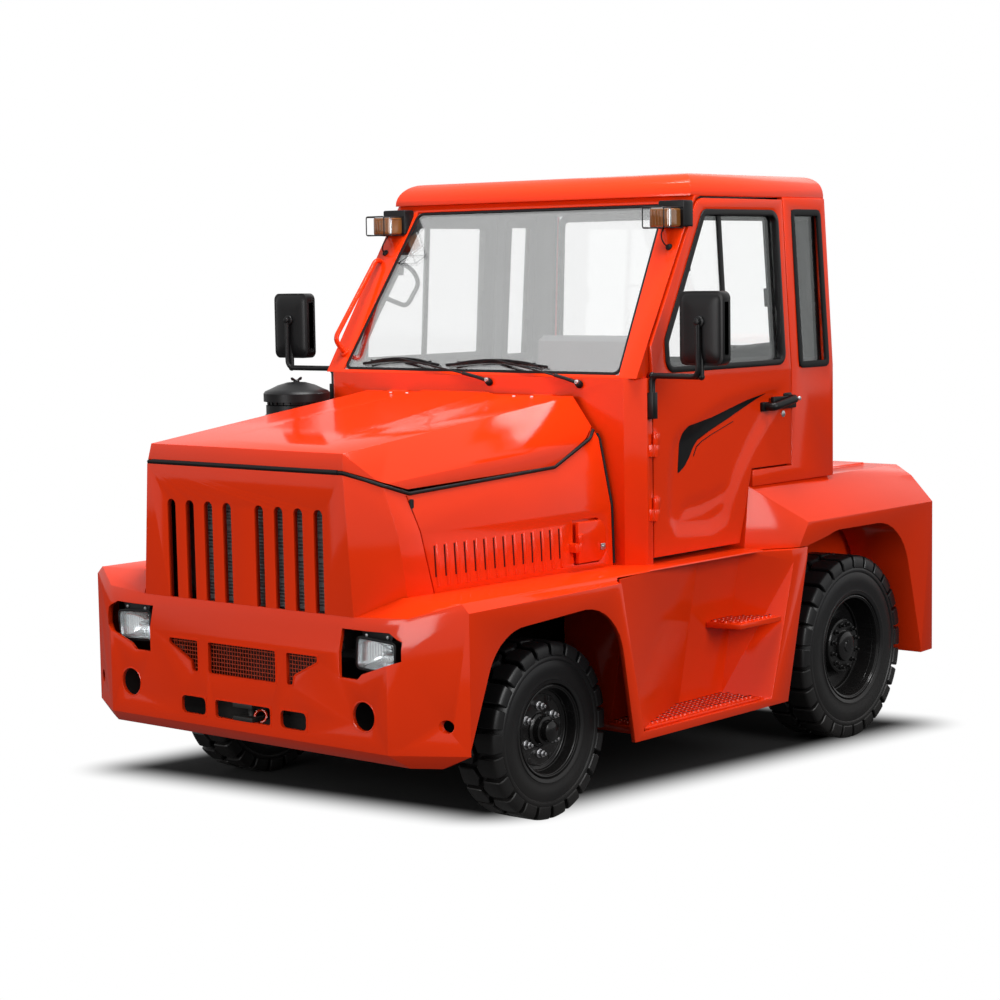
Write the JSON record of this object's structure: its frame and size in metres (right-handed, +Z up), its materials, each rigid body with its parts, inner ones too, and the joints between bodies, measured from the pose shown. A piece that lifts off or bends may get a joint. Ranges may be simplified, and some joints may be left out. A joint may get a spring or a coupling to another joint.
{
  "type": "airport tow tractor",
  "caption": "Airport baggage tow tractor with a closed two-seat cab, louvred engine cover, steered front wheels, step pockets in the side skirts and a rear tow jaw with a lifting pin",
  "frame": {"origin": "on the ground at the middle of the overall length and width", "axes": "+X forward, +Y to the tractor's left, +Z up"},
  "size_m": [3.211, 2.118, 2.145],
  "materials": {
    "paint": "glossy orange-red paint",
    "frame_black": "satin black paint",
    "cast": "rough cast",
    "core": "dull finned core",
    "lamp": "clear lamp",
    "red_lens": "red lens",
    "steel": "bare steel",
    "mat": "ribbed mat",
    "glass": "clear glass",
    "trim": "black plastic",
    "dash": "grey moulding",
    "seat": "black vinyl",
    "mirror": "mirror",
    "tyre": "tyre rubber",
    "rim": "gloss black paint"
  },
  "bodies": {
    "chassis": {"chassis_frame": "frame_black", "front_axle": "frame_black", "rear_axle": "frame_black", "engine_block": "cast", "radiator": "core", "bumper": "paint", "bumper_mesh": "frame_black", "headlamps": "lamp", "nose_panel": "paint", "side_covers": "paint", "side_bodies": "paint", "step_treads": "paint", "rear_fenders": "paint", "rear_body": "paint", "tail_lamps": "red_lens", "tow_jaw": "frame_black", "cab_floor": "mat", "cab_cowl": "paint", "screen_frame": "paint", "cab_roof": "paint", "cab_quarters": "paint", "cab_back": "paint", "cab_glass": "glass", "dashboard": "dash", "seat_bases": "frame_black", "seats": "seat", "mirrors": "trim", "mirror_glass": "mirror", "wipers": "trim", "work_lamps": "lamp", "grab_rail": "paint", "air_cleaner": "trim"},
    "hood": {"hood": "paint"},
    "fuel_flap": {"fuel_flap": "paint"},
    "tow_pin": {"tow_pin": "steel"},
    "door_left": {"door_left": "paint", "door_trim_left": "trim", "door_glass_left": "glass"},
    "door_right": {"door_right": "paint", "door_trim_right": "trim", "door_glass_right": "glass"},
    "steering_wheel": {"steering_wheel": "trim"},
    "knuckle_left": {"knuckle_left": "frame_black"},
    "knuckle_right": {"knuckle_right": "frame_black"},
    "front_wheel_left": {"front_tyre_left": "tyre", "front_wheel_left": "rim"},
    "front_wheel_right": {"front_tyre_right": "tyre", "front_wheel_right": "rim"},
    "rear_wheel_left": {"rear_tyre_left": "tyre", "rear_wheel_left": "rim"},
    "rear_wheel_right": {"rear_tyre_right": "tyre", "rear_wheel_right": "rim"}
  },
  "joints": [
    {"name": "steer_left", "type": "hinge", "parent": "chassis", "child": "knuckle_left", "pos_m": [0.907, 0.53, 0.297], "axis": [0, 0, 1], "range_deg": [-35, 35]},
    {"name": "steer_right", "type": "hinge", "parent": "chassis", "child": "knuckle_right", "pos_m": [0.907, -0.53, 0.297], "axis": [0, 0, 1], "range_deg": [-35, 35]},
    {"name": "front_roll_left", "type": "hinge", "parent": "knuckle_left", "child": "front_wheel_left", "pos_m": [0.907, 0.648, 0.297], "axis": [0, 1, 0], "continuous": true},
    {"name": "front_roll_right", "type": "hinge", "parent": "knuckle_right", "child": "front_wheel_right", "pos_m": [0.907, -0.648, 0.297], "axis": [0, 1, 0], "continuous": true},
    {"name": "rear_roll_left", "type": "hinge", "parent": "chassis", "child": "rear_wheel_left", "pos_m": [-0.837, 0.711, 0.353], "axis": [0, 1, 0], "continuous": true},
    {"name": "rear_roll_right", "type": "hinge", "parent": "chassis", "child": "rear_wheel_right", "pos_m": [-0.837, -0.711, 0.353], "axis": [0, 1, 0], "continuous": true},
    {"name": "steering_turn", "type": "hinge", "parent": "chassis", "child": "steering_wheel", "pos_m": [0.033, 0.33, 1.45], "axis": [-0.5299, 0, 0.848], "range_deg": [-525, 525]},
    {"name": "door_left_swing", "type": "hinge", "parent": "chassis", "child": "door_left", "pos_m": [0.3465, 0.7582, 1.2], "axis": [0, 0, -1], "range_deg": [0, 70]},
    {"name": "door_right_swing", "type": "hinge", "parent": "chassis", "child": "door_right", "pos_m": [0.3465, -0.7582, 1.2], "axis": [0, 0, 1], "range_deg": [0, 70]},
    {"name": "hood_lift", "type": "hinge", "parent": "chassis", "child": "hood", "pos_m": [0.447, 0, 1.37], "axis": [0, -1, 0], "range_deg": [0, 50]},
    {"name": "flap_swing", "type": "hinge", "parent": "chassis", "child": "fuel_flap", "pos_m": [0.6585, 0.6674, 0.891], "axis": [0, 0, -1], "range_deg": [0, 100]},
    {"name": "tow_pin_lift", "type": "slide", "parent": "chassis", "child": "tow_pin", "axis": [0, 0, 1], "range_m": [0, 0.14]}
  ],
  "couplings": [
    {"joint": "steer_right", "follows": "steer_left", "ratio": 1},
    {"joint": "steering_turn", "follows": "steer_left", "ratio": 15}
  ]
}
